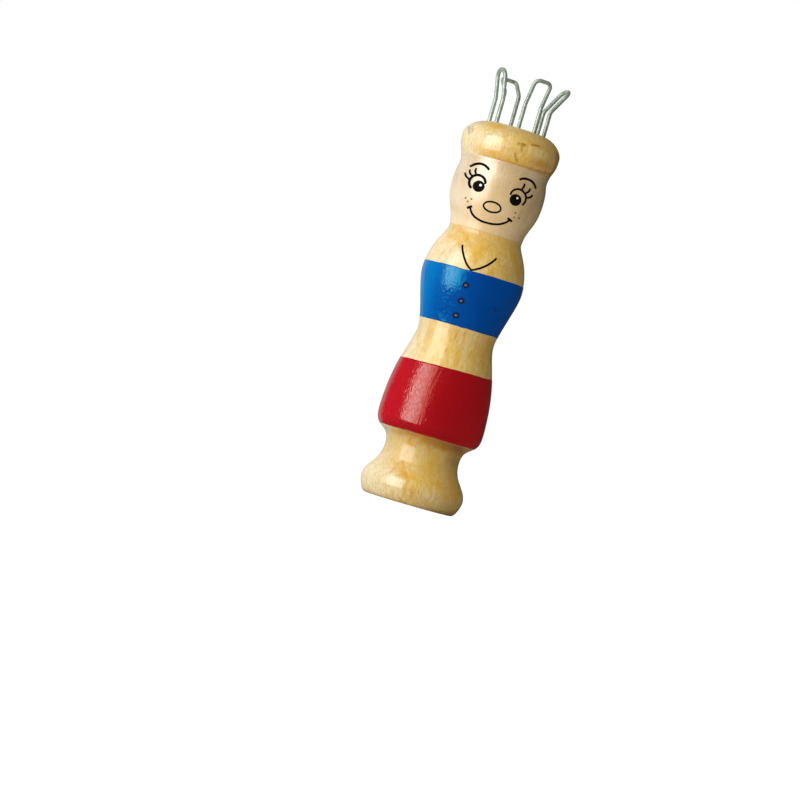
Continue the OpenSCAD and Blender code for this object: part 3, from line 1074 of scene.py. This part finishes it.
# drawing: strokes and dabs are made flat, in millimetres across and up, then pressed onto the doll
pen = {
    "line": 0.6,
    "fine": 0.52,
    "bold": 0.72,
    "height": 0.045,
    "endWidth": 0.9,
    "roundness": 3,
    "smoothness": 10,
    "dabSides": 40,
    "dabRows": 24,
    "weld": 1e-7,  # metres
}


def pressOn(bm, under):
    for vert in bm.verts:
        height = vert.co.z / mm
        reach = (radiusAt(height) + under) * mm - vert.co.y
        vert.co.y = -math.sqrt(max(reach * reach - vert.co.x * vert.co.x, 0.0))


def drawStrokes(name, strokes, under, finish):
    curve = bpy.data.curves.new(name, "CURVE")
    curve.dimensions = "3D"
    curve.bevel_depth = 0.5 * mm  # so that a point's radius is the line's width there
    curve.bevel_resolution = pen["roundness"]
    curve.resolution_u = pen["smoothness"]
    curve.use_fill_caps = True
    for stroke in strokes:
        points = stroke["points"]
        closed = stroke.get("closed", False)
        spline = curve.splines.new("BEZIER")
        spline.bezier_points.add(len(points) - 1)
        spline.use_cyclic_u = closed
        for i, (across, up) in enumerate(points):
            knot = spline.bezier_points[i]
            knot.co = Vector((across, 0, up)) * mm
            knot.handle_left_type = knot.handle_right_type = "AUTO"
            atEnd = not closed and i in (0, len(points) - 1)
            knot.radius = stroke["width"] * (pen["endWidth"] if atEnd else 1.0)
    holder = bpy.data.objects.new(name, curve)
    scene.collection.objects.link(holder)
    flat = bpy.data.meshes.new_from_object(holder.evaluated_get(bpy.context.evaluated_depsgraph_get()))
    bpy.data.objects.remove(holder)
    bm = bmesh.new()
    bm.from_mesh(flat)
    bpy.data.meshes.remove(flat)
    bmesh.ops.remove_doubles(bm, verts=bm.verts, dist=pen["weld"])
    bmesh.ops.recalc_face_normals(bm, faces=bm.faces)
    bmesh.ops.scale(bm, vec=(1, pen["height"] / (pen["line"] / 2), 1), verts=bm.verts)
    pressOn(bm, under)
    return finishPiece(name, bm, finishes[finish])


def drawDabs(name, dabs, under, finish):
    bm = bmesh.new()
    for dab in dabs:
        across, up = dab["at"]
        wide, tall = dab["size"]
        size = Matrix.Diagonal((wide / 2 * mm, dab.get("height", pen["height"]) * mm, tall / 2 * mm, 1))
        place = Matrix.Translation(Vector((across, 0, up)) * mm)
        bmesh.ops.create_uvsphere(
            bm, u_segments=pen["dabSides"], v_segments=pen["dabRows"], radius=1, matrix=place @ size,
        )
    pressOn(bm, under)
    return finishPiece(name, bm, finishes[finish])


def arc(centre, radius, start, end, count):
    # points round part of a circle, in degrees from the right, turning upwards
    points = []
    for i in range(count):
        angle = math.radians(start + (end - start) * i / (count - 1))
        points.append((centre[0] + radius[0] * math.cos(angle), centre[1] + radius[1] * math.sin(angle)))
    return points


leftEye = {
    "brow": [
        (-9.25, 92.2), (-8.4, 92.95), (-7.3, 93.5), (-6.35, 93.65),
        (-5.35, 93.45), (-4.55, 93.05), (-4.0, 92.6),
    ],
    "browWidth": 0.74,
    "lashes": [
        [(-10.1, 90.35), (-9.5, 89.45), (-8.4, 88.75)],
        [(-9.05, 91.45), (-8.7, 90.45), (-7.8, 89.85)],
        [(-7.45, 92.2), (-7.5, 91.35), (-7.05, 90.55)],
    ],
    "lid": arc((-6.1, 88.4), (2.18, 2.12), 238, 6, 11),
    "lidWidth": 0.76,
    "pupil": (-5.5, 87.6),
    "glint": (-5.1, 88.0),
    "glintSize": (0.85, 0.85),
}
rightEye = {
    "brow": [(4.5, 92.4), (5.5, 92.95), (6.7, 93.15), (7.95, 92.95), (8.9, 92.3), (9.5, 91.45)],
    "browWidth": 0.66,
    "lashes": [
        [(6.25, 91.75), (6.2, 90.85), (5.85, 89.95)],
        [(8.05, 91.0), (7.85, 90.1), (7.1, 89.25)],
        [(9.1, 89.55), (8.8, 88.85), (7.9, 88.3)],
    ],
    "lid": [
        (3.35, 87.7), (3.5, 88.65), (4.25, 89.5), (5.4, 89.85), (6.6, 89.5),
        (7.45, 88.65), (7.7, 87.7), (7.55, 86.7), (7.15, 86.0),
    ],
    "lidWidth": 0.6,
    "pupil": (5.05, 86.8),
    "glint": (5.4, 87.4),
    "glintSize": (0.72, 0.72),
}
eyeDabs = {"pupilSize": (3.25, 3.15), "pupilHeight": 0.06, "glintHeight": 0.1}
noseLine = arc((-0.45, 83.2), (2.38, 1.35), 0, 330, 12)
mouth = {
    "line": [
        (-6.2, 81.65), (-5.05, 80.05), (-3.2, 79.1), (-0.7, 78.8),
        (1.75, 79.1), (3.75, 79.95), (5.15, 81.2),
    ],
    "ends": [
        [(-6.9, 81.2), (-6.25, 81.65), (-5.65, 82.0)],
        [(4.4, 81.55), (5.1, 81.3), (5.8, 81.05)],
    ],
}
freckles = {
    "at": [(-8.0, 83.7), (-6.4, 83.8), (-7.2, 82.95), (6.0, 83.5), (7.3, 82.5), (6.0, 82.25)],
    "size": (0.54, 0.54),
}
neckLine = [
    [(-5.3, 71.3), (-4.85, 69.9), (-3.9, 68.1), (-2.7, 66.5), (-1.15, 65.3)],
    [(-1.22, 65.26), (0.2, 65.95), (1.7, 66.95), (3.2, 68.4), (4.1, 69.6), (4.55, 70.35)],
]
buttons = {
    "at": [(-1.4, 61.0), (-1.45, 56.65), (-1.7, 52.55)],
    "rim": (0.72, 0.60),
    "dab": (0.7, 0.56),
    "dabHeight": 0.03,
}
# painted shade: a dark navy dab where the blue paint has a small pit
pitShadeDab = {"at": (8.1, 57.0), "size": (0.6, 0.75), "height": 0.02}


def drawEye(name, eye):
    strokes = [{"points": eye["brow"], "width": eye["browWidth"]}]
    strokes += [{"points": lash, "width": pen["line"]} for lash in eye["lashes"]]
    strokes.append({"points": eye["lid"], "width": eye["lidWidth"]})
    drawStrokes(name + "_lines", strokes, coat["thick"], "ink")
    pupil = {"at": eye["pupil"], "size": eyeDabs["pupilSize"], "height": eyeDabs["pupilHeight"]}
    drawDabs(name + "_pupil", [pupil], coat["thick"], "ink")
    glint = {"at": eye["glint"], "size": eye["glintSize"], "height": eyeDabs["glintHeight"]}
    drawDabs(name + "_glint", [glint], coat["thick"], "glint")


def drawMouth():
    strokes = [{"points": mouth["line"], "width": pen["line"]}]
    strokes += [{"points": end, "width": pen["bold"]} for end in mouth["ends"]]
    drawStrokes("mouth_line", strokes, coat["thick"], "ink")


def drawButtons():
    rims = []
    dabs = []
    for spot in buttons["at"]:
        rims.append({"points": arc(spot, buttons["rim"], 0, 315, 8), "width": pen["fine"], "closed": True})
        dabs.append({"at": spot, "size": buttons["dab"], "height": buttons["dabHeight"]})
    drawStrokes("button_rims", rims, coat["thick"], "blueInk")
    drawDabs("button_dabs", dabs, coat["thick"], "button")


drawEye("left_eye", leftEye)
drawEye("right_eye", rightEye)
drawStrokes("nose_line", [{"points": noseLine, "width": pen["fine"], "closed": True}], coat["thick"], "ink")
drawMouth()
freckleDabs = [{"at": spot, "size": freckles["size"]} for spot in freckles["at"]]
drawDabs("freckles", freckleDabs, coat["thick"], "freckle")
drawStrokes("neck_line", [{"points": line, "width": pen["line"]} for line in neckLine], 0.0, "ink")
drawButtons()
drawDabs("paint_pit_shade", [pitShadeDab], coat["thick"], "blueInk")
print("drawing: eyes, nose, mouth, freckles, neckline and buttons")


# wires: the frame's own loops, in dull zinc
for name, node in frame["nodes"].items():
    if name.endswith("_loop"):
        node.data.materials.clear()
        node.data.materials.append(finishes["wire"])
print("wires: zinc on the loops")
